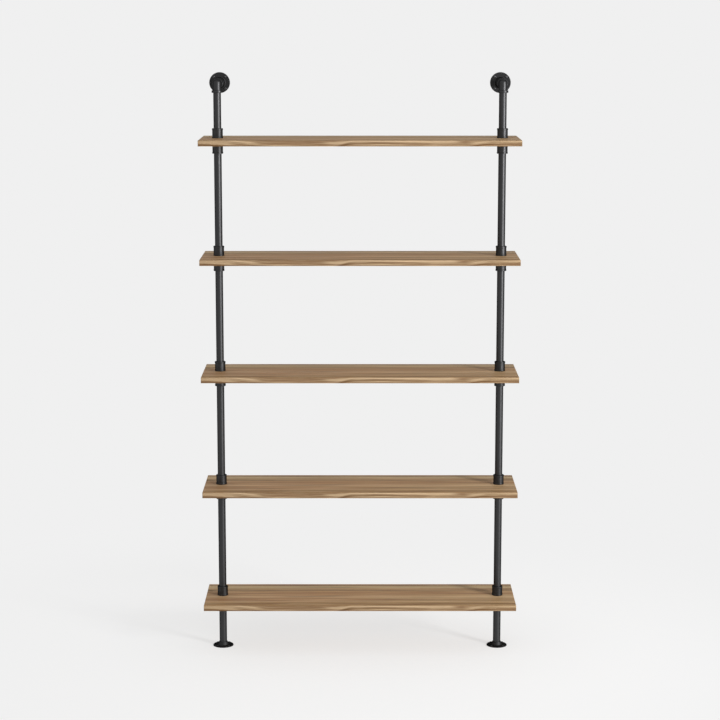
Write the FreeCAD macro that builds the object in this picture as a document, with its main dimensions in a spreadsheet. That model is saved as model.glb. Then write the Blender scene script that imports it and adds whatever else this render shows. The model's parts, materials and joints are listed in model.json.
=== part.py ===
import FreeCAD, Part
import os
import re
import Sketcher

# A shelving unit made of two columns of screwed iron pipe that carry wooden shelves.
# Each column stands on a floor flange, climbs through every shelf and turns back at the top
# through an elbow to a flange on the wall. Every shelf is held between two couplings on each
# column, and a threaded nipple passes through the shelf and joins the two. The columns stand
# at mid-depth of the shelves, and the wall is where the shelves' back edges are.
#
# Frame, in millimetres: the origin is on the floor, midway between the two columns and on the
# plane of their axes. +X is to the right, +Y towards the wall and +Z up.

DRIVING_SIZES = [
    ("shelf_count", 5, "shelves, one above another"),
    ("shelf_length", 1219.2, "shelf, left to right"),
    ("shelf_depth", 304.8, "shelf, front to back"),
    ("shelf_thickness", 22.2, "shelf board thickness"),
    ("shelf_edge_round", 1.2, "rounding of the shelf's outer edges"),
    ("shelf_pitch", 452, "one shelf's top to the next one's"),
    ("floor_clearance", 184.8, "floor to the underside of the lowest shelf"),
    ("shelf_hole_clearance", 0.5, "gap round the nipple in the shelf's hole"),
    ("column_inset", 64.6, "column's axis in from the shelf's end"),
    ("pipe_diameter", 29.4, "outside of every pipe and nipple"),
    ("pipe_wall", 2.9, "wall of every pipe and nipple"),
    ("thread_depth", 1.4, "how far a threaded end is below the pipe's surface"),
    ("thread_length", 14, "threaded end of a pipe, inside its fitting"),
    ("thread_lead", 0.7, "bevel at the tip of a threaded end"),
    ("thread_clearance", 0.15, "gap between a threaded end and its fitting"),
    ("coupling_length", 37, "coupling, end to end"),
    ("coupling_wall", 5.5, "coupling's barrel outside the pipe's surface"),
    ("coupling_band_rise", 0.75, "how far an end band stands out of the barrel"),
    ("coupling_band_length", 5.5, "end band of a coupling"),
    ("coupling_band_round", 1.1, "rounding of an end band"),
    ("elbow_reach", 33, "elbow's centre to each of its ends"),
    ("elbow_wall", 0.8, "elbow's body outside the pipe's surface"),
    ("elbow_heel_round", 10.5, "rounding of the elbow's outer corner"),
    ("elbow_band_rise", 5.2, "how far an end band stands out of the elbow's body"),
    ("elbow_band_length", 9, "end band of an elbow"),
    ("elbow_band_round", 1.5, "rounding of an elbow's end band"),
    ("elbow_height", 205, "top shelf's upper face to the elbow's centre"),
    ("flange_diameter", 80.5, "floor or wall flange"),
    ("flange_thickness", 3.5, "disc of a flange"),
    ("flange_rim_round", 1.8, "rounding of the disc's outer edge"),
    ("flange_height", 16.5, "mounting face to the end of the hub"),
    ("hub_wall", 2, "hub's end outside the pipe's surface"),
    ("hub_flare", 5, "how much wider the hub is at the disc, each side"),
    ("hub_round", 1.2, "rounding of the hub's end"),
    ("hub_root_round", 4, "hollow between the hub and the disc"),
    ("bolt_circle", 63, "circle through the screw holes of a flange"),
    ("screw_hole_count", 4, "screw holes in a flange"),
    ("screw_hole_diameter", 5.5, "screw hole in a flange"),
]

PIPE_RADIUS = "pipe_diameter / 2"
PIPE_BORE = "(pipe_diameter / 2 - pipe_wall)"
THREAD_RADIUS = "(pipe_diameter / 2 - thread_depth)"
SOCKET_RADIUS = "(pipe_diameter / 2 - thread_depth + thread_clearance)"
COUPLING_RADIUS = "(pipe_diameter / 2 + coupling_wall)"
COUPLING_BAND_RADIUS = "(pipe_diameter / 2 + coupling_wall + coupling_band_rise)"
ELBOW_RADIUS = "(pipe_diameter / 2 + elbow_wall)"
ELBOW_BAND_RADIUS = "(pipe_diameter / 2 + elbow_wall + elbow_band_rise)"
ELBOW_BEND = "(elbow_reach - thread_length - thread_lead)"
HUB_RADIUS = "(pipe_diameter / 2 + hub_wall)"
HUB_ROOT_RADIUS = "(pipe_diameter / 2 + hub_wall + hub_flare)"
FLANGE_RADIUS = "flange_diameter / 2"
COLUMN_X = "(shelf_length / 2 - column_inset)"
WALL_Y = "shelf_depth / 2"

FIRST_HOLE_ANGLE = 45          # degrees; the screw holes lie on the diagonals
POINT_TOLERANCE = 1e-4         # mm, for telling which edge is which

doc = FreeCAD.newDocument("PipeShelving")
sheet = doc.addObject("Spreadsheet::Sheet", "Sizes")
for row, (alias, value, meaning) in enumerate(DRIVING_SIZES, start=1):
    sheet.set(f"A{row}", meaning)
    sheet.set(f"B{row}", str(value))
    sheet.setAlias(f"B{row}", alias)
doc.recompute()


# ---- sizes and expressions ---------------------------------------------------------------

def size(expression):
    """The present value of an expression written with the sheet's aliases."""
    return float(sheet.evalExpression(expression))


def bind(target, prop, expression):
    """Tie a property to the sheet. The expression is written with bare aliases."""
    target.setExpression(prop, re.sub(r"[a-z][a-z_]+", r"Sizes.\g<0>", expression))


def place(body, x="0", y="0", z="0", turn=FreeCAD.Rotation()):
    """Turn a sub-part, then tie its place to the sheet."""
    body.Placement = FreeCAD.Placement(FreeCAD.Vector(size(x), size(y), size(z)), turn)
    for axis, expression in zip("xyz", (x, y, z)):
        bind(body, f"Placement.Base.{axis}", expression)


# ---- sketches ----------------------------------------------------------------------------

def new_body(label):
    body = doc.addObject("PartDesign::Body", label)
    body.Label = label
    return body


def sketch_on(body, role, name):
    """An empty sketch on one of the body's own origin planes."""
    plane = next(item for item in body.Origin.OriginFeatures if item.Role == role)
    sketch = body.newObject("Sketcher::SketchObject", name)
    sketch.AttachmentSupport = [(plane, "")]
    sketch.MapMode = "FlatFace"
    return sketch


def tie_point(sketch, geometry, point, x, y):
    """Hold one point of a sketch at two expressions, measured from the sketch's origin."""
    for kind, axis, expression in (("DistanceX", -2, x), ("DistanceY", -1, y)):
        if expression == "0":
            sketch.addConstraint(Sketcher.Constraint("PointOnObject", geometry, point, axis))
            continue
        constraint = Sketcher.Constraint(kind, -1, 1, geometry, point, size(expression))
        bind(sketch, f"Constraints[{sketch.addConstraint(constraint)}]", expression)


def add_outline(sketch, corners):
    """Closed straight-sided outline. Each corner is a pair of expressions."""
    points = [FreeCAD.Vector(size(x), size(y), 0) for x, y in corners]
    for start, end in zip(points, points[1:] + points[:1]):
        sketch.addGeometry(Part.LineSegment(start, end), False)
    for line in range(len(points)):
        following = (line + 1) % len(points)
        sketch.addConstraint(Sketcher.Constraint("Coincident", line, 2, following, 1))
    for line, (x, y) in enumerate(corners):
        tie_point(sketch, line, 1, x, y)


def add_circle(sketch, x, y, diameter):
    """Circle whose centre and diameter are expressions."""
    centre = FreeCAD.Vector(size(x), size(y), 0)
    up = FreeCAD.Vector(0, 0, 1)
    circle = sketch.addGeometry(Part.Circle(centre, up, size(diameter) / 2), False)
    tie_point(sketch, circle, 3, x, y)
    constraint = Sketcher.Constraint("Diameter", circle, size(diameter))
    bind(sketch, f"Constraints[{sketch.addConstraint(constraint)}]", diameter)


# ---- features ----------------------------------------------------------------------------

def revolve(body, corners):
    """Solid of revolution about the body's Z axis from corners given as (radius, height)."""
    sketch = sketch_on(body, "XZ_Plane", f"{body.Name}_profile")
    add_outline(sketch, corners)
    revolution = body.newObject("PartDesign::Revolution", f"{body.Name}_revolution")
    revolution.Profile = sketch
    revolution.ReferenceAxis = (sketch, ["V_Axis"])
    revolution.Angle = 360
    sketch.Visibility = False
    doc.recompute()
    return revolution


def ring_edges(feature, radius, height):
    """Names of a feature's circular edges at one radius and one height above its base."""
    names = []
    for number, edge in enumerate(feature.Shape.Edges, start=1):
        if edge.Curve.TypeId != "Part::GeomCircle":
            continue
        off_radius = abs(edge.Curve.Radius - size(radius))
        off_height = abs(edge.Curve.Center.z - size(height))
        if max(off_radius, off_height) < POINT_TOLERANCE:
            names.append(f"Edge{number}")
    return names


def round_edges(body, feature, edges, radius):
    """Fillet on the named edges of the feature."""
    fillet = body.newObject("PartDesign::Fillet", f"{body.Name}_round")
    fillet.Base = (feature, edges)
    fillet.Radius = size(radius)
    bind(fillet, "Radius", radius)
    doc.recompute()
    return fillet


# ---- the pieces --------------------------------------------------------------------------

def make_shelf(label, underside):
    """Board with a hole for each column."""
    body = new_body(label)
    outline = sketch_on(body, "XY_Plane", f"{label}_outline")
    add_outline(outline, [("0", "0"), ("shelf_length", "0"),
                          ("shelf_length", "shelf_depth"), ("0", "shelf_depth")])
    board = body.newObject("PartDesign::Pad", f"{label}_board")
    board.Profile = outline
    bind(board, "Length", "shelf_thickness")
    doc.recompute()

    holes = sketch_on(body, "XY_Plane", f"{label}_holes")
    for column in ("column_inset", "shelf_length - column_inset"):
        add_circle(holes, column, "shelf_depth / 2", "pipe_diameter + 2 * shelf_hole_clearance")
    drilled = body.newObject("PartDesign::Pocket", f"{label}_drilled")
    drilled.Profile = holes
    drilled.Type = "ThroughAll"
    drilled.Reversed = True
    doc.recompute()

    outer_edges = [f"Edge{number}" for number, edge in enumerate(drilled.Shape.Edges, start=1)
                   if edge.Curve.TypeId == "Part::GeomLine" and on_board_outline(edge)]
    round_edges(body, drilled, outer_edges, "shelf_edge_round")
    place(body, "-shelf_length / 2", "-shelf_depth / 2", underside)
    return body


def on_board_outline(edge):
    """True for the edges of a board, false for the seams of its holes."""
    middle = edge.CenterOfMass
    off_sides = min(abs(middle.x), abs(middle.x - size("shelf_length")))
    off_front_or_back = min(abs(middle.y), abs(middle.y - size("shelf_depth")))
    return min(off_sides, off_front_or_back) < POINT_TOLERANCE


def make_pipe(label, length):
    """Pipe with a threaded end at each end. The length is the stretch between two fittings."""
    body = new_body(label)
    top_of_pipe = f"thread_length + {length}"
    tip = f"2 * thread_length + {length}"
    revolve(body, [
        (PIPE_BORE, "0"),
        (f"{THREAD_RADIUS} - thread_lead", "0"),
        (THREAD_RADIUS, "thread_lead"),
        (THREAD_RADIUS, "thread_length"),
        (PIPE_RADIUS, "thread_length"),
        (PIPE_RADIUS, top_of_pipe),
        (THREAD_RADIUS, top_of_pipe),
        (THREAD_RADIUS, f"{tip} - thread_lead"),
        (f"{THREAD_RADIUS} - thread_lead", tip),
        (PIPE_BORE, tip),
    ])
    return body


def make_coupling(label):
    """Threaded sleeve with a raised band at each end."""
    body = new_body(label)
    band_foot = "coupling_band_length + coupling_band_rise"
    barrel = revolve(body, [
        (SOCKET_RADIUS, "0"),
        (COUPLING_BAND_RADIUS, "0"),
        (COUPLING_BAND_RADIUS, "coupling_band_length"),
        (COUPLING_RADIUS, band_foot),
        (COUPLING_RADIUS, f"coupling_length - ({band_foot})"),
        (COUPLING_BAND_RADIUS, "coupling_length - coupling_band_length"),
        (COUPLING_BAND_RADIUS, "coupling_length"),
        (SOCKET_RADIUS, "coupling_length"),
    ])
    band_edges = []
    for height in ("0", "coupling_band_length",
                   "coupling_length - coupling_band_length", "coupling_length"):
        band_edges += ring_edges(barrel, COUPLING_BAND_RADIUS, height)
    round_edges(body, barrel, band_edges, "coupling_band_round")
    return body


def make_flange(label):
    """Round flange with a flared hub and screw holes. Its mounting face is at Z = 0."""
    body = new_body(label)
    casting = revolve(body, [
        (SOCKET_RADIUS, "0"),
        (FLANGE_RADIUS, "0"),
        (FLANGE_RADIUS, "flange_thickness"),
        (HUB_ROOT_RADIUS, "flange_thickness"),
        (HUB_RADIUS, "flange_height"),
        (SOCKET_RADIUS, "flange_height"),
    ])
    root = ring_edges(casting, HUB_ROOT_RADIUS, "flange_thickness")
    casting = round_edges(body, casting, root, "hub_root_round")
    rim = ring_edges(casting, FLANGE_RADIUS, "flange_thickness")
    casting = round_edges(body, casting, rim, "flange_rim_round")
    hub_end = ring_edges(casting, HUB_RADIUS, "flange_height")
    casting = round_edges(body, casting, hub_end, "hub_round")
    add_screw_holes(body)
    return body


def add_screw_holes(body):
    """Plain holes round the bolt circle, through the disc."""
    hole_circle = sketch_on(body, "XY_Plane", f"{body.Name}_hole_circle")
    add_circle(hole_circle, "bolt_circle / 2", "0", "screw_hole_diameter")
    hole = body.newObject("PartDesign::Pocket", f"{body.Name}_hole")
    hole.Profile = hole_circle
    hole.Reversed = True
    bind(hole, "Length", "flange_thickness")
    doc.recompute()

    pattern = body.newObject("PartDesign::PolarPattern", f"{body.Name}_holes")
    pattern.Originals = [hole]
    pattern.Axis = (hole_circle, ["N_Axis"])
    pattern.Angle = 360
    bind(pattern, "Occurrences", "screw_hole_count")
    body.Tip = pattern
    doc.recompute()


def make_elbow(label):
    """Banded elbow with a square heel. Its centre is the origin; its ends face -Z and +Y."""
    body = new_body(label)
    leg = add_elbow_end(body, "PartDesign::Pad", "down_leg", "down", f"2 * {ELBOW_RADIUS}",
                        f"elbow_reach + {ELBOW_RADIUS}")
    heel = ring_edges(leg, ELBOW_RADIUS, ELBOW_RADIUS)
    round_edges(body, leg, heel, "elbow_heel_round")
    add_elbow_end(body, "PartDesign::Pad", "back_leg", "back", f"2 * {ELBOW_RADIUS}",
                  "elbow_reach")
    for end in ("down", "back"):
        add_elbow_end(body, "PartDesign::Pad", f"{end}_band", end, f"2 * {ELBOW_BAND_RADIUS}",
                      "elbow_band_length")
    bands = body.Tip
    band_edges = [f"Edge{number}" for number, edge in enumerate(bands.Shape.Edges, start=1)
                  if edge.Curve.TypeId == "Part::GeomCircle"
                  and abs(edge.Curve.Radius - size(ELBOW_BAND_RADIUS)) < POINT_TOLERANCE]
    round_edges(body, bands, band_edges, "elbow_band_round")
    cut_bend(body, f"2 * {PIPE_BORE}")
    for end in ("down", "back"):
        add_elbow_end(body, "PartDesign::Pocket", f"{end}_socket", end, f"2 * {SOCKET_RADIUS}",
                      "thread_length + thread_lead")
    return body


def cut_bend(body, diameter):
    """Quarter ring of round section, cut from the bottom of one socket to the other's."""
    section = sketch_on(body, "XY_Plane", f"{body.Name}_bore_section")
    section.AttachmentOffset = FreeCAD.Placement(
        FreeCAD.Vector(0, 0, -size(ELBOW_BEND)), FreeCAD.Rotation())
    bind(section, "AttachmentOffset.Base.z", f"-{ELBOW_BEND}")
    add_circle(section, "0", "0", diameter)
    pivot_start = FreeCAD.Vector(0, size(ELBOW_BEND), 0)
    pivot_end = FreeCAD.Vector(size(ELBOW_RADIUS), size(ELBOW_BEND), 0)
    pivot = section.addGeometry(Part.LineSegment(pivot_start, pivot_end), True)
    tie_point(section, pivot, 1, "0", ELBOW_BEND)
    tie_point(section, pivot, 2, ELBOW_RADIUS, ELBOW_BEND)
    bore = body.newObject("PartDesign::Groove", f"{body.Name}_bore")
    bore.Profile = section
    bore.ReferenceAxis = (section, ["Axis0"])
    bore.Angle = 90
    bore.Reversed = True
    doc.recompute()


def add_elbow_end(body, kind, name, end, diameter, depth):
    """Round boss or socket at one end of the elbow, from the end face towards its centre."""
    role = {"down": "XY_Plane", "back": "XZ_Plane"}[end]
    face = sketch_on(body, role, f"{body.Name}_{name}_circle")
    face.AttachmentOffset = FreeCAD.Placement(
        FreeCAD.Vector(0, 0, -size("elbow_reach")), FreeCAD.Rotation())
    bind(face, "AttachmentOffset.Base.z", "-elbow_reach")
    add_circle(face, "0", "0", diameter)
    feature = body.newObject(kind, f"{body.Name}_{name}")
    feature.Profile = face
    feature.Reversed = kind == "PartDesign::Pocket"
    bind(feature, "Length", depth)
    doc.recompute()
    return feature


# ---- assembly ----------------------------------------------------------------------------

UPRIGHT_LENGTH = "(shelf_pitch - shelf_thickness - 2 * coupling_length)"
FLOOR_PIPE_LENGTH = "(floor_clearance - coupling_length - flange_height)"
TOP_PIPE_LENGTH = "(elbow_height - coupling_length - elbow_reach)"
WALL_NIPPLE_LENGTH = f"({WALL_Y} - elbow_reach - flange_height)"

shelves = int(size("shelf_count"))


def underside_of(number):
    """Height of the underside of one shelf; shelf 1 is the lowest."""
    return f"(floor_clearance + {number - 1} * shelf_pitch)"


def topside_of(number):
    """Height of the upper face of one shelf."""
    return f"({underside_of(number)} + shelf_thickness)"


elbow_level = f"{topside_of(shelves)} + elbow_height"


def make_column(side, x):
    """Everything on one column, from the floor flange to the wall flange."""
    facing_room = FreeCAD.Rotation(FreeCAD.Vector(1, 0, 0), 90)
    hole_turn = FreeCAD.Rotation(FreeCAD.Vector(0, 0, 1), FIRST_HOLE_ANGLE)
    place(make_flange(f"{side}_floor_flange"), x, turn=hole_turn)
    place(make_pipe(f"{side}_floor_pipe", FLOOR_PIPE_LENGTH), x, z="flange_height - thread_length")

    for number in range(1, shelves + 1):
        low, high = underside_of(number), topside_of(number)
        place(make_coupling(f"{side}_lower_coupling_{number}"), x, z=f"{low} - coupling_length")
        place(make_pipe(f"{side}_shelf_nipple_{number}", "shelf_thickness"), x,
              z=f"{low} - thread_length")
        place(make_coupling(f"{side}_upper_coupling_{number}"), x, z=high)
        if number < shelves:
            place(make_pipe(f"{side}_upright_pipe_{number}", UPRIGHT_LENGTH), x,
                  z=f"{high} + coupling_length - thread_length")

    place(make_pipe(f"{side}_top_pipe", TOP_PIPE_LENGTH), x,
          z=f"{topside_of(shelves)} + coupling_length - thread_length")
    place(make_elbow(f"{side}_elbow"), x, z=elbow_level)
    place(make_pipe(f"{side}_wall_nipple", WALL_NIPPLE_LENGTH), x,
          f"{WALL_Y} - flange_height + thread_length", elbow_level, facing_room)
    place(make_flange(f"{side}_wall_flange"), x, WALL_Y, elbow_level,
          facing_room.multiply(hole_turn))


for number in range(1, shelves + 1):
    make_shelf(f"shelf_{number}", underside_of(number))
make_column("left", f"-{COLUMN_X}")
make_column("right", COLUMN_X)
doc.recompute()


# ---- checks and export -------------------------------------------------------------------

failed = [item.Name for item in doc.Objects if {"Invalid", "Error"} & set(item.State)]
if failed:
    raise RuntimeError(f"not computed: {failed}")

bodies = [item for item in doc.Objects if item.TypeId == "PartDesign::Body"]
for body in bodies:
    if body.Shape.isNull() or not body.Shape.isValid() or len(body.Shape.Solids) != 1:
        raise RuntimeError(f"{body.Label} is not one valid solid")

os.makedirs("parts", exist_ok=True)
for body in bodies:
    body.Shape.exportStep(f"parts/{body.Label}.step")
print(f"{len(bodies)} sub-parts written")
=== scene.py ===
import json
import math

import bmesh
import bpy
from mathutils import Matrix, Vector


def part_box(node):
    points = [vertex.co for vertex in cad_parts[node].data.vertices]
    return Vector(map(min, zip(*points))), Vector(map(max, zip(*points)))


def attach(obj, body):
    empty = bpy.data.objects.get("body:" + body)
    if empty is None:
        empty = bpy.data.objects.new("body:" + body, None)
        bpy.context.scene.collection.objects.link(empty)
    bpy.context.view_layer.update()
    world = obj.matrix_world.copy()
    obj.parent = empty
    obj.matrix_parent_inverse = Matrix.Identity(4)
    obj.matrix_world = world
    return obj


# Looks of the pipe shelving unit: wood on the boards, a black finish on pipes and fittings,
# screws in the flanges, a pale studio round the part and the camera. All lengths are in metres,
# in the frame of the part: the origin is on the floor midway between the columns, +X is to the
# right, +Y towards the wall and +Z up.

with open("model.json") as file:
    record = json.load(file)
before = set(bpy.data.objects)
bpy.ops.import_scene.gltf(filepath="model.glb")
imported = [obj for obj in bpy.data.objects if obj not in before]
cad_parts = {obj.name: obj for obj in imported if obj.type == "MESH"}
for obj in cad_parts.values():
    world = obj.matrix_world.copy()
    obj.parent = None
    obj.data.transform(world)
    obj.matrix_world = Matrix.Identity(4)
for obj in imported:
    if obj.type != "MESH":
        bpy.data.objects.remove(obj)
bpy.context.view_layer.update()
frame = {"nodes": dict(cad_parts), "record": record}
nodes = frame["nodes"]


# ---- sizes read from the frame -----------------------------------------------------------

shelf_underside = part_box("shelf_1")[0].z
shelf_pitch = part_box("shelf_2")[0].z - shelf_underside


# ---- camera ------------------------------------------------------------------------------

CAMERA_PLACE = (0.0, -7.8824, 2.5009)
CAMERA_PITCH = 9.7012      # degrees below the horizon
CAMERA_LENS = 102.6012     # mm
SENSOR_WIDTH = 36.0        # mm
CAMERA_REACH = 400.0       # past the far corners of the floor


def make_camera():
    data = bpy.data.cameras.new("camera")
    data.lens = CAMERA_LENS
    data.sensor_width = SENSOR_WIDTH
    data.clip_end = CAMERA_REACH
    camera = bpy.data.objects.new("camera", data)
    camera.location = CAMERA_PLACE
    camera.rotation_euler = (math.radians(90 - CAMERA_PITCH), 0, 0)
    bpy.context.scene.collection.objects.link(camera)
    bpy.context.scene.camera = camera


# ---- shader helpers ----------------------------------------------------------------------

class Shader:
    """The node tree of one material or world, with short ways to add and link nodes."""

    def __init__(self, owner):
        owner.use_nodes = True
        self.tree = owner.node_tree
        self.tree.nodes.clear()

    def node(self, kind, inputs=(), **settings):
        """A node whose inputs are given by name or number, as values or as sockets."""
        made = self.tree.nodes.new(kind)
        for name, value in settings.items():
            setattr(made, name, value)
        for name, value in dict(inputs).items():
            self.feed(made.inputs[name], value)
        return made

    def feed(self, socket, value):
        if isinstance(value, bpy.types.NodeSocket):
            self.tree.links.new(value, socket)
        else:
            socket.default_value = value

    def math(self, operation, first, second=0.0, third=0.0):
        inputs = {0: first, 1: second, 2: third}
        return self.node("ShaderNodeMath", inputs, operation=operation).outputs[0]

    def smooth(self, value, start, end):
        """0 below start, 1 above end and a smooth step between; start may be above end."""
        inputs = {"Value": value, "From Min": start, "From Max": end}
        made = self.node("ShaderNodeMapRange", inputs, interpolation_type="SMOOTHSTEP")
        return made.outputs["Result"]

    def hump(self, value, place, reach):
        """1 at one place, falling to 0 at the reach on either side of it."""
        away = self.math("ABSOLUTE", self.math("SUBTRACT", value, place))
        return self.smooth(away, reach, 0.0)

    def window(self, value, start, end, fade):
        """1 between start and end, with a smooth fade across either of them."""
        return self.math("MULTIPLY", self.smooth(value, start - fade, start + fade),
                         self.smooth(value, end + fade, end - fade))

    def vector(self, x, y, z):
        return self.node("ShaderNodeCombineXYZ", {0: x, 1: y, 2: z}).outputs[0]

    def length(self, x, y):
        """Length of a flat vector."""
        return self.node("ShaderNodeVectorMath", {0: self.vector(x, y, 0.0)},
                         operation="LENGTH").outputs["Value"]

    def stretch(self, vector, scale, shift=(0, 0, 0)):
        inputs = {"Vector": vector, "Scale": scale, "Location": shift}
        return self.node("ShaderNodeMapping", inputs).outputs[0]

    def noise(self, vector, scale=1.0, detail=2.0, roughness=0.5):
        inputs = {"Vector": vector, "Scale": scale, "Detail": detail, "Roughness": roughness}
        return self.node("ShaderNodeTexNoise", inputs).outputs["Fac"]

    def mix(self, factor, first, second, blend="MIX"):
        """Mix of two colours; their sockets are numbers 6 and 7 of the node."""
        made = self.node("ShaderNodeMix", data_type="RGBA", blend_type=blend)
        for index, value in ((0, factor), (6, first), (7, second)):
            self.feed(made.inputs[index], value)
        return made.outputs[2]

    def lay(self, tone, share, strength, tint):
        """Lay a tint over a tone, as strongly as the share and the strength say."""
        return self.mix(self.math("MULTIPLY", share, strength), tone, tint)

    def bump(self, height, distance):
        inputs = {"Height": height, "Distance": distance, "Strength": 1.0}
        return self.node("ShaderNodeBump", inputs).outputs["Normal"]

    def coordinates(self):
        """The point's x, y and z in the part's frame, and the same as one vector."""
        place = self.node("ShaderNodeTexCoord").outputs["Object"]
        split = self.node("ShaderNodeSeparateXYZ", {0: place})
        return split.outputs[0], split.outputs[1], split.outputs[2], place


def colour(red, green, blue):
    return (red, green, blue, 1.0)


WHITE = colour(1, 1, 1)


# ---- wood --------------------------------------------------------------------------------

WOOD_MID = colour(0.500, 0.310, 0.134)
WOOD_PALE = colour(0.785, 0.547, 0.300)
WOOD_DARK = colour(0.138, 0.069, 0.026)
WOOD_OLIVE = colour(0.580, 0.436, 0.232)
WOOD_RED = colour(0.436, 0.226, 0.090)
WOOD_AMBER = colour(0.385, 0.190, 0.042)
EDGE_MID = colour(0.312, 0.209, 0.114)
EDGE_PALE = colour(0.548, 0.396, 0.242)
EDGE_RED = colour(0.225, 0.134, 0.070)
END_PALE = colour(0.270, 0.166, 0.082)
END_DARK = colour(0.105, 0.058, 0.026)

# Share of X or Y in a side's normal at which the tone of the ends or edges starts and is full.
END_LEAN = (0.6, 0.9)
EDGE_LEAN = (0.6, 0.8)

# Grain noises: their cells per metre along the board, across it and through it.
WANDER_GRAIN = (1.1, 5.0, 5.0)
BROAD_GRAIN = (0.8, 24.0, 24.0)
THIN_GRAIN = (2.6, 85.0, 1.0)
CLIMB_GRAIN = (9.0, 9.0, 40.0)
STREAK_GRAIN = (4.0, 260.0, 260.0)
FIBRE_GRAIN = (22.0, 1500.0, 1500.0)

# Values of a noise at which a tone starts and is full.
BROAD_MID = (0.38, 0.62)
THIN_PALE = (0.50, 0.64)
THIN_DARK = (0.48, 0.34)
LINE_RED = (0.56, 0.44)
LINE_PALE = (0.52, 0.64)
LINE_DARK = (0.44, 0.32)
GROWTH_DARK = (0.15, 0.95)
PORE_DARK = (0.60, 0.72)

FACE_WANDER = 0.016        # how far the bands wander across the board
THIN_STRENGTH = 0.45       # of the thin pale and dark bands
FACE_PAINTED_SHEEN = 0.042          # share of white in the faces: a painted sheen, standing in for their glancing reflection of the pale studio

# Bands along the faces: place across the board, reach to either side, colour, strength.
FACE_BANDS = (
    (0.108, 0.034, WOOD_OLIVE, 1.0),
    (0.136, 0.016, WOOD_DARK, 0.62),
    (0.063, 0.014, WOOD_DARK, 0.62),
    (0.026, 0.038, WOOD_RED, 0.80),
    (-0.028, 0.028, WOOD_PALE, 0.54),
    (-0.062, 0.014, WOOD_RED, 0.50),
    (-0.094, 0.014, WOOD_PALE, 0.36),
    (-0.132, 0.040, WOOD_AMBER, 0.90),
    (-0.126, 0.014, WOOD_DARK, 0.46),
)

# The grain of the edges climbs and falls along the board: from x, to x, rise.
EDGE_DRIFT = ((-0.61, -0.30, -0.018), (-0.095, -0.015, 0.012), (0.0, 0.40, -0.003),
              (0.405, 0.505, 0.007), (0.51, 0.61, -0.002))
EDGE_CLIMB = 0.005         # how far this grain also wanders up and down
CLIMB_SHIFT = (3.0, 0.0, 0.0)
EDGE_LINES = (4.0, 380.0, 2.0)    # cells per metre along and up the edge, and the noise's layer
LINE_STRENGTH = 0.70       # of the pale and dark lines
EDGE_FADE = 0.025          # along the board, at either end of a patch

# Patches of the edges that follow this grain: height, reach to either side, from x, to x,
# colour, strength.
EDGE_PATCHES = (
    (0.0262, 0.0080, -0.60, -0.39, EDGE_PALE, 0.80),
    (0.0145, 0.0080, -0.70, -0.48, EDGE_PALE, 0.60),
    (0.0310, 0.0085, -0.13, -0.065, EDGE_PALE, 0.80),
    (0.0262, 0.0080, -0.09, 0.37, EDGE_PALE, 0.85),
    (0.0195, 0.0068, 0.42, 0.48, EDGE_PALE, 0.80),
    (0.0235, 0.0065, 0.48, 0.70, EDGE_PALE, 0.45),
    (0.0305, 0.0065, -0.34, -0.17, EDGE_RED, 0.65),
    (0.0182, 0.0064, -0.094, -0.032, WOOD_DARK, 0.96),
    (0.0106, 0.0058, 0.415, 0.51, WOOD_DARK, 0.96),
    (0.0090, 0.0036, 0.51, 0.70, WOOD_DARK, 0.50),
    (0.0052, 0.0052, -0.70, -0.40, WOOD_DARK, 0.95),
)

TREE_HEART = (0.045, -0.10)    # middle of the growth rings: y, and height over the underside
RINGS_PER_METRE = 240.0

STREAK_SPREAD = 0.80       # how much the streaks lighten the tone
STREAK_LEAST = 0.60        # the tone's share where there is no streak
PORE_STRENGTH = 0.40
PORE_DIP = 0.8             # how deep a pore is, as a share of a streak
WOOD_RELIEF = 0.00018
WOOD_GLOSS = 0.52          # roughness where there is no streak
WOOD_GLOSS_SPREAD = 0.20
WOOD_SHINE = 0.12


def face_wood(shader, x, y, height, wander):
    """Tone of the faces: wandering bands along the board, under a painted sheen."""
    across = shader.math("MULTIPLY_ADD", wander, FACE_WANDER,
                         shader.math("SUBTRACT", y, FACE_WANDER / 2))
    broad = shader.noise(shader.stretch(shader.vector(x, across, height), BROAD_GRAIN), detail=1.0)
    tone = shader.mix(shader.smooth(broad, *BROAD_MID), WOOD_RED, WOOD_MID)
    for place, reach, tint, strength in FACE_BANDS:
        tone = shader.lay(tone, shader.hump(across, place, reach), strength, tint)
    thin = shader.noise(shader.stretch(shader.vector(x, across, 0.0), THIN_GRAIN))
    tone = shader.lay(tone, shader.smooth(thin, *THIN_PALE), THIN_STRENGTH, WOOD_PALE)
    tone = shader.lay(tone, shader.smooth(thin, *THIN_DARK), THIN_STRENGTH, WOOD_DARK)
    # white laid over the whole face tone: painted sheen
    return shader.mix(FACE_PAINTED_SHEEN, tone, WHITE)


def edge_wood(shader, x, height, board):
    """Tone of the front and back edges: dark and pale lines and patches that climb and fall."""
    climb = shader.noise(shader.stretch(board, CLIMB_GRAIN, CLIMB_SHIFT))
    level = shader.math("MULTIPLY_ADD", climb, -EDGE_CLIMB,
                        shader.math("ADD", height, EDGE_CLIMB / 2))
    for start, end, rise in EDGE_DRIFT:
        level = shader.math("MULTIPLY_ADD", shader.smooth(x, start, end), -rise, level)
    along, up, layer = EDGE_LINES
    lines = shader.noise(shader.vector(shader.math("MULTIPLY", x, along),
                                       shader.math("MULTIPLY", level, up), layer))
    tone = shader.mix(shader.smooth(lines, *LINE_RED), EDGE_MID, EDGE_RED)
    tone = shader.lay(tone, shader.smooth(lines, *LINE_PALE), LINE_STRENGTH, EDGE_PALE)
    tone = shader.lay(tone, shader.smooth(lines, *LINE_DARK), LINE_STRENGTH, WOOD_DARK)
    for place, reach, start, end, tint, strength in EDGE_PATCHES:
        patch = shader.math("MULTIPLY", shader.hump(level, place, reach),
                            shader.window(x, start, end, EDGE_FADE))
        tone = shader.lay(tone, patch, strength, tint)
    return tone


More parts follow.
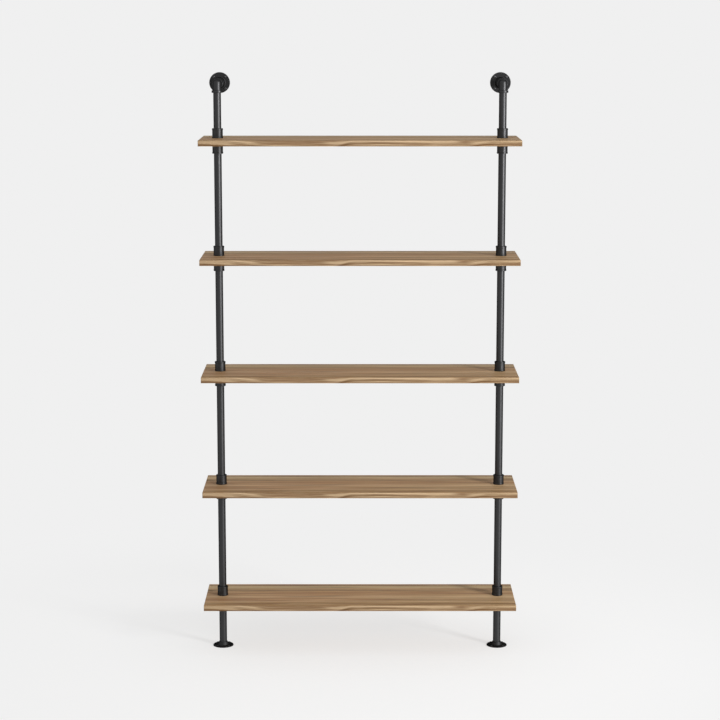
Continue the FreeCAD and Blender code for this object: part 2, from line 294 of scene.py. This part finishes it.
def end_wood(shader, y, height, wander):
    """Tone of the board's ends: growth rings."""
    radius = shader.length(shader.math("SUBTRACT", y, TREE_HEART[0]),
                           shader.math("SUBTRACT", height, TREE_HEART[1]))
    growth = shader.math("FRACT", shader.math("MULTIPLY_ADD", radius, RINGS_PER_METRE, wander))
    return shader.mix(shader.smooth(growth, *GROWTH_DARK), END_PALE, END_DARK)


def shelf_wood():
    """Oiled walnut-brown board. Every shelf repeats the same figure, as in the photo."""
    material = bpy.data.materials.new("oiled_board")
    shader = Shader(material)
    x, y, z, _ = shader.coordinates()
    below = shelf_underside - shelf_pitch / 2
    height = shader.math("WRAP", z, below + shelf_pitch, below)
    height = shader.math("SUBTRACT", height, shelf_underside)
    board = shader.vector(x, y, height)
    wander = shader.noise(shader.stretch(board, WANDER_GRAIN))

    normal = shader.node("ShaderNodeNewGeometry").outputs["Normal"]
    facing = shader.node("ShaderNodeSeparateXYZ", {0: normal}).outputs
    edge_side = shader.smooth(shader.math("ABSOLUTE", facing[1]), *EDGE_LEAN)
    end_side = shader.smooth(shader.math("ABSOLUTE", facing[0]), *END_LEAN)
    tone = shader.mix(edge_side, face_wood(shader, x, y, height, wander),
                      edge_wood(shader, x, height, board))
    tone = shader.mix(end_side, tone, end_wood(shader, y, height, wander))

    # streaks and pores along the grain, on every side
    streaks = shader.noise(shader.stretch(board, STREAK_GRAIN), detail=4.0, roughness=0.62)
    pores = shader.smooth(shader.noise(shader.stretch(board, FIBRE_GRAIN)), *PORE_DARK)
    light = shader.math("MULTIPLY_ADD", streaks, STREAK_SPREAD, STREAK_LEAST)
    tone = shader.mix(1.0, tone, shader.vector(light, light, light), "MULTIPLY")
    tone = shader.lay(tone, pores, PORE_STRENGTH, WOOD_DARK)

    relief = shader.math("MULTIPLY_ADD", pores, -PORE_DIP, streaks)
    gloss = shader.math("MULTIPLY_ADD", streaks, WOOD_GLOSS_SPREAD, WOOD_GLOSS)
    principled = shader.node("ShaderNodeBsdfPrincipled", {
        "Base Color": tone, "Roughness": gloss, "Specular IOR Level": WOOD_SHINE,
        "Normal": shader.bump(relief, WOOD_RELIEF)})
    shader.node("ShaderNodeOutputMaterial", {"Surface": principled.outputs[0]})
    return material


# ---- black iron --------------------------------------------------------------------------

# Finishes: colour, roughness, size and depth of the orange peel, strength of the rubbed patches.
PIPE_FINISH = ((0.050, 0.050, 0.0515), 0.43, 0.0016, 0.00004, 0.25)
COUPLING_FINISH = ((0.046, 0.046, 0.0474), 0.42, 0.0011, 0.00010, 0.40)
ELBOW_FINISH = ((0.046, 0.046, 0.0474), 0.42, 0.0011, 0.00003, 0.25)
FLANGE_FINISH = ((0.034, 0.034, 0.035), 0.58, 0.0013, 0.00010, 0.40)
# The two screw finishes are one screw painted twice: lighter at the wall as painted highlight,
# darker at the floor as painted shade.
WALL_SCREW_PAINTED_LIT_FINISH = ((0.105, 0.105, 0.108), 0.34, 0.0009, 0.00002, 0.6)
FLOOR_SCREW_PAINTED_SHADE_FINISH = ((0.034, 0.034, 0.035), 0.55, 0.0009, 0.00002, 0.6)

EDGE_SHEEN = colour(0.2, 0.2, 0.2)    # share that the finish keeps of a glancing reflection
CLOUD_SCALE = 38.0         # cells per metre of the broad unevenness
SPECK_SCALE = 900.0        # cells per metre of the specks in a rubbed patch
RUBBED_CLOUD = (0.50, 0.75)    # values of the two noises at which rubbing starts and is full
RUBBED_SPECK = (0.45, 0.75)
RUBBED_TONE = 1.8          # brightness of a rubbed patch beside the rest
GLOSS_SPREAD = 0.16        # of the roughness, over the clouds


def coated_iron(name, base, gloss, peel_size, peel_depth, wear):
    """Black coating over iron: fine orange peel, uneven gloss and faint rubbed patches."""
    material = bpy.data.materials.new(name)
    shader = Shader(material)
    place = shader.coordinates()[-1]
    peel = shader.noise(place, 1.0 / peel_size, detail=3.0, roughness=0.6)
    cloud = shader.noise(place, CLOUD_SCALE, detail=3.0)
    speck = shader.noise(place, SPECK_SCALE, detail=1.0)
    rubbed = shader.math("MULTIPLY", shader.smooth(cloud, *RUBBED_CLOUD),
                         shader.smooth(speck, *RUBBED_SPECK))
    tone = shader.lay(colour(*base), rubbed, wear, colour(*(RUBBED_TONE * part for part in base)))
    roughness = shader.math("MULTIPLY_ADD", cloud, GLOSS_SPREAD, gloss - GLOSS_SPREAD / 2)
    principled = shader.node("ShaderNodeBsdfPrincipled", {
        "Base Color": tone, "Metallic": 1.0, "Specular Tint": EDGE_SHEEN, "Roughness": roughness,
        "Normal": shader.bump(peel, peel_depth)})
    shader.node("ShaderNodeOutputMaterial", {"Surface": principled.outputs[0]})
    return material


# ---- screws ------------------------------------------------------------------------------

SCREW_HEAD = 0.0096        # across the pan head
SCREW_SHANK = 0.0050
SCREW_SEAT = 0.0035        # a flange's face above its mounting side
SCREW_LIFT = 0.00003       # gap between the head and the flange
SCREW_SIDES = 40
FIRST_SCREW = 45           # degrees round the flange
HEAD_HEIGHT = 0.0030
SHARP_ANGLE = 35           # degrees between faces, above which their edge stays sharp

# Outline of the head in shares of its radius and height, from the top outwards.
HEAD_CURVE = ((0.70, 0.97), (0.81, 0.91), (0.90, 0.80), (0.96, 0.64), (0.99, 0.46),
              (1.0, 0.28), (1.0, 0.0))

CROSS_REACH = 0.0024
CROSS_WIDTH = 0.0011
CROSS_DEPTH = 0.0018
CROSS_TAPER = 0.5          # size of the recess at its bottom beside its mouth
CROSS_TURNS = (20, 65, 48, 8)     # degrees, as each screw happened to stop


def ring(mesh, place, radius, height):
    """Points round the screw's axis."""
    angles = [2 * math.pi * side / SCREW_SIDES for side in range(SCREW_SIDES)]
    return [mesh.verts.new(place @ Vector((radius * math.cos(angle), radius * math.sin(angle),
                                           height))) for angle in angles]


def cross(mesh, place, scale, height):
    """The twelve corners of a cross, in order."""
    reach, half = CROSS_REACH * scale, CROSS_WIDTH * scale / 2
    corners = []
    for arm in range(4):
        turn = Matrix.Rotation(arm * math.pi / 2, 4, "Z")
        for x, y in ((reach, -half), (reach, half), (half, half)):
            corners.append(mesh.verts.new(place @ turn @ Vector((x, y, height))))
    return corners


def join(mesh, first, second):
    """Quads from one closed row of points to the next."""
    for index in range(len(first)):
        after = (index + 1) % len(first)
        mesh.faces.new((first[index], first[after], second[after], second[index]))


def loop_edges(mesh, row):
    return [mesh.edges.get((row[index - 1], row[index])) for index in range(len(row))]


def add_screw(mesh, place):
    """Pan-head screw with a cross recess: its head stands on z = 0, its shank goes down."""
    crown = SCREW_LIFT + HEAD_HEIGHT
    rows = [ring(mesh, place, share * SCREW_HEAD / 2, SCREW_LIFT + rise * HEAD_HEIGHT)
            for share, rise in HEAD_CURVE]
    rows.append(ring(mesh, place, SCREW_SHANK / 2, SCREW_LIFT))
    rows.append(ring(mesh, place, SCREW_SHANK / 2, -SCREW_SEAT))
    for first, second in zip(rows, rows[1:]):
        join(mesh, first, second)
    mesh.faces.new(rows[-1])
    mouth = cross(mesh, place, 1.0, crown)
    pit = cross(mesh, place, CROSS_TAPER, crown - CROSS_DEPTH)
    join(mesh, mouth, pit)
    mesh.faces.new(pit)
    bmesh.ops.triangle_fill(mesh, use_beauty=True,
                            edges=loop_edges(mesh, rows[0]) + loop_edges(mesh, mouth))


def turned(degrees):
    """A turn about Z."""
    return Matrix.Rotation(math.radians(degrees), 4, "Z")


def flange_screws(mount, material):
    """The screws through one flange's holes; each shank ends at the mounting side."""
    inward = -Vector(mount["axis"])
    middle = Vector(mount["pos_m"]) + inward * SCREW_SEAT
    flange = Matrix.Translation(middle) @ inward.to_track_quat("Z", "Y").to_matrix().to_4x4()
    out_to_holes = Matrix.Translation((mount["dims"]["pcd_mm"] / 1000 / 2, 0, 0))
    count = mount["dims"]["count"]
    mesh = bmesh.new()
    for number in range(count):
        round_flange = turned(FIRST_SCREW + 360 * number / count)
        own_turn = turned(CROSS_TURNS[number % len(CROSS_TURNS)])
        add_screw(mesh, flange @ round_flange @ out_to_holes @ own_turn)
    bmesh.ops.recalc_face_normals(mesh, faces=mesh.faces)
    name = mount["name"].replace("holes", "screws")
    data = bpy.data.meshes.new(name)
    mesh.to_mesh(data)
    mesh.free()
    data.polygons.foreach_set("use_smooth", [True] * len(data.polygons))
    data.set_sharp_from_angle(angle=math.radians(SHARP_ANGLE))
    data.materials.append(material)
    screws = bpy.data.objects.new(name, data)
    bpy.context.scene.collection.objects.link(screws)
    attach(screws, "root")


def make_screws():
    """Screws in every flange: one screw in a lighter, glossier copy at the wall as painted
    highlight, and in a darker, duller copy at the floor as painted shade.
    """
    screw_painted_lit = coated_iron("screw_painted_lit_copy", *WALL_SCREW_PAINTED_LIT_FINISH)
    screw_painted_shade = coated_iron("screw_painted_shade_copy", *FLOOR_SCREW_PAINTED_SHADE_FINISH)
    for mount in frame["record"]["mounts"]:
        if mount["kind"] == "bolt_pattern":
            flange_screws(mount, screw_painted_shade if "floor" in mount["name"] else screw_painted_lit)


# ---- studio ------------------------------------------------------------------------------

BACKGROUND = colour(0.871, 0.871, 0.871)
WORLD_STRENGTH = 0.38      # light of the surroundings on the part
FLOOR_HALF = 150.0
FLOOR_TONE = colour(0.98, 0.98, 0.98)         # for the light that it throws on the part
FLOOR_SEEN_TONE = colour(0.33, 0.33, 0.33)    # for the camera, which sees the glow as well
FLOOR_GLOW = 0.690         # makes up for the rest of the floor's own light near the part
FLOOR_PAINTED_SHADE = 0.20       # how much of the glow is darkened close under the part: painted shade
FLOOR_PAINTED_SHADE_REACH = 0.8
FLOOR_PAINTED_SHADE_SIDE = (0.12, -0.50, 0.80)    # side of the soft light over the floor that the painted shade stands in for
FLOOR_FADE = (0.8, 2.2)    # distances from the origin between which the floor turns plain
KEY_AZIMUTH = 49.7         # degrees from the camera's side of the part towards +X
KEY_DISTANCE = 9.0
KEY_HEIGHT = 2.5
KEY_AIM = Vector((0, 0, 2.5))
KEY_WIDTH = 1.7
KEY_TALL = 4.4
KEY_POWER = 900.0          # watts


def backdrop_ray(shader):
    """1 for camera, mirror and glass rays, which see the plain backdrop, and 0 for the rest."""
    path = shader.node("ShaderNodeLightPath")
    seen = shader.math("MAXIMUM", path.outputs["Is Camera Ray"], path.outputs["Is Glossy Ray"])
    return shader.math("MAXIMUM", seen, path.outputs["Is Transmission Ray"])


def make_world():
    world = bpy.data.worlds.new("studio")
    bpy.context.scene.world = world
    shader = Shader(world)
    light = shader.node("ShaderNodeBackground", {
        "Color": WHITE, "Strength": WORLD_STRENGTH}).outputs[0]
    seen = shader.node("ShaderNodeBackground", {
        "Color": BACKGROUND, "Strength": 1.0}).outputs[0]
    mixed = shader.node("ShaderNodeMixShader", {0: backdrop_ray(shader), 1: light, 2: seen})
    shader.node("ShaderNodeOutputWorld", {"Surface": mixed.outputs[0]})


def floor_material():
    """Pale floor that keeps the part's shadow, has its glow darkened close under the part as
    painted shade, and fades into the plain backdrop further out.
    """
    material = bpy.data.materials.new("floor")
    shader = Shader(material)
    x, y, _, _ = shader.coordinates()
    far = shader.smooth(shader.length(x, y), *FLOOR_FADE)
    # painted shade: the glow is darkened where the part hides the sky above the floor
    open_sky = shader.node("ShaderNodeAmbientOcclusion", {
        "Distance": FLOOR_PAINTED_SHADE_REACH, "Normal": shader.vector(*FLOOR_PAINTED_SHADE_SIDE)},
        samples=16, only_local=False).outputs["AO"]
    glow = shader.math("MULTIPLY_ADD", open_sky, FLOOR_PAINTED_SHADE * FLOOR_GLOW,
                       (1 - FLOOR_PAINTED_SHADE) * FLOOR_GLOW)
    lit = shader.node("ShaderNodeBsdfDiffuse", {"Color": FLOOR_TONE}).outputs[0]
    seen_lit = shader.node("ShaderNodeBsdfDiffuse", {"Color": FLOOR_SEEN_TONE}).outputs[0]
    seen_glow = shader.node("ShaderNodeEmission", {"Color": WHITE, "Strength": glow}).outputs[0]
    near = shader.node("ShaderNodeAddShader", {0: seen_lit, 1: seen_glow}).outputs[0]
    plain = shader.node("ShaderNodeEmission", {"Color": BACKGROUND, "Strength": 1.0}).outputs[0]
    seen = shader.node("ShaderNodeMixShader", {0: far, 1: near, 2: plain}).outputs[0]
    mixed = shader.node("ShaderNodeMixShader", {0: backdrop_ray(shader), 1: lit, 2: seen})
    shader.node("ShaderNodeOutputMaterial", {"Surface": mixed.outputs[0]})
    return material


def make_floor():
    corners = [(x, y, 0) for x, y in ((-FLOOR_HALF, -FLOOR_HALF), (FLOOR_HALF, -FLOOR_HALF),
                                      (FLOOR_HALF, FLOOR_HALF), (-FLOOR_HALF, FLOOR_HALF))]
    mesh = bpy.data.meshes.new("floor")
    mesh.from_pydata(corners, [], [(0, 1, 2, 3)])
    mesh.materials.append(floor_material())
    floor = bpy.data.objects.new("floor", mesh)
    bpy.context.scene.collection.objects.link(floor)


def make_key_light():
    azimuth = math.radians(KEY_AZIMUTH)
    data = bpy.data.lights.new("key", "AREA")
    data.shape = "RECTANGLE"
    data.size = KEY_WIDTH
    data.size_y = KEY_TALL
    data.energy = KEY_POWER
    light = bpy.data.objects.new("key", data)
    light.location = (KEY_DISTANCE * math.sin(azimuth), -KEY_DISTANCE * math.cos(azimuth),
                      KEY_HEIGHT)
    light.rotation_euler = (KEY_AIM - light.location).to_track_quat("-Z", "Y").to_euler()
    bpy.context.scene.collection.objects.link(light)


# ---- the whole ---------------------------------------------------------------------------

def dress(slot, material, word=""):
    """Give a material to the nodes of one slot of the record whose name has the word in it."""
    for subpart in frame["record"]["subparts"]:
        if subpart["material_slot"] == slot and word in subpart["node"]:
            node = nodes[subpart["node"]]
            node.data.materials.clear()
            node.data.materials.append(material)


bpy.context.scene.view_settings.view_transform = "Standard"
make_camera()
dress("shelf_wood", shelf_wood())
dress("black_pipe", coated_iron("coated_pipe", *PIPE_FINISH))
dress("black_fitting", coated_iron("coated_casting", *COUPLING_FINISH), "coupling")
dress("black_fitting", coated_iron("elbow_casting", *ELBOW_FINISH), "elbow")
dress("black_fitting", coated_iron("flange_casting", *FLANGE_FINISH), "flange")
make_screws()
make_world()
make_floor()
make_key_light()
